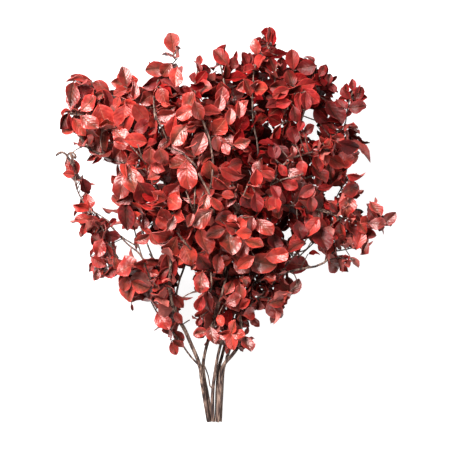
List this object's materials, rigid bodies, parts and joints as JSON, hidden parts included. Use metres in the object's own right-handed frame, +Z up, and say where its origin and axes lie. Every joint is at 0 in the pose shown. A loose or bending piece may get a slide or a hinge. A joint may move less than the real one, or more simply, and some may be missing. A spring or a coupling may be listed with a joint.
{
  "type": "bunch of preserved pittosporum",
  "caption": "Loose bunch of cut, preserved foliage branches in coral, red and wine tones, with bare stem ends held close together, lying on a surface",
  "frame": {"origin": "on the surface the bunch lies on, under the middle of its outline as seen from above", "axes": "+Y runs along the bunch from the cut stem ends to the foliage tips, +X to the right as seen from above, +Z up out of the surface"},
  "size_m": [0.4676, 0.5509, 0.1796],
  "materials": {
    "leaf_orange": "waxy preserved leaf, dyed orange-red to coral, paler and matte underneath",
    "leaf_crimson": "waxy preserved leaf, dyed crimson, paler and matte underneath",
    "leaf_wine": "waxy preserved leaf, dyed dark wine red, paler and matte underneath",
    "bark": "dry grey-brown bark with long pale fibres, reddish on the thin twigs"
  },
  "bodies": {
    "root": {"left_branch": "leaf_orange", "inner_left_branch": "leaf_orange", "middle_branch": "leaf_orange", "upper_right_branch": "leaf_crimson", "right_branch": "leaf_crimson", "back_branch": "leaf_wine"}
  },
  "joints": []
}
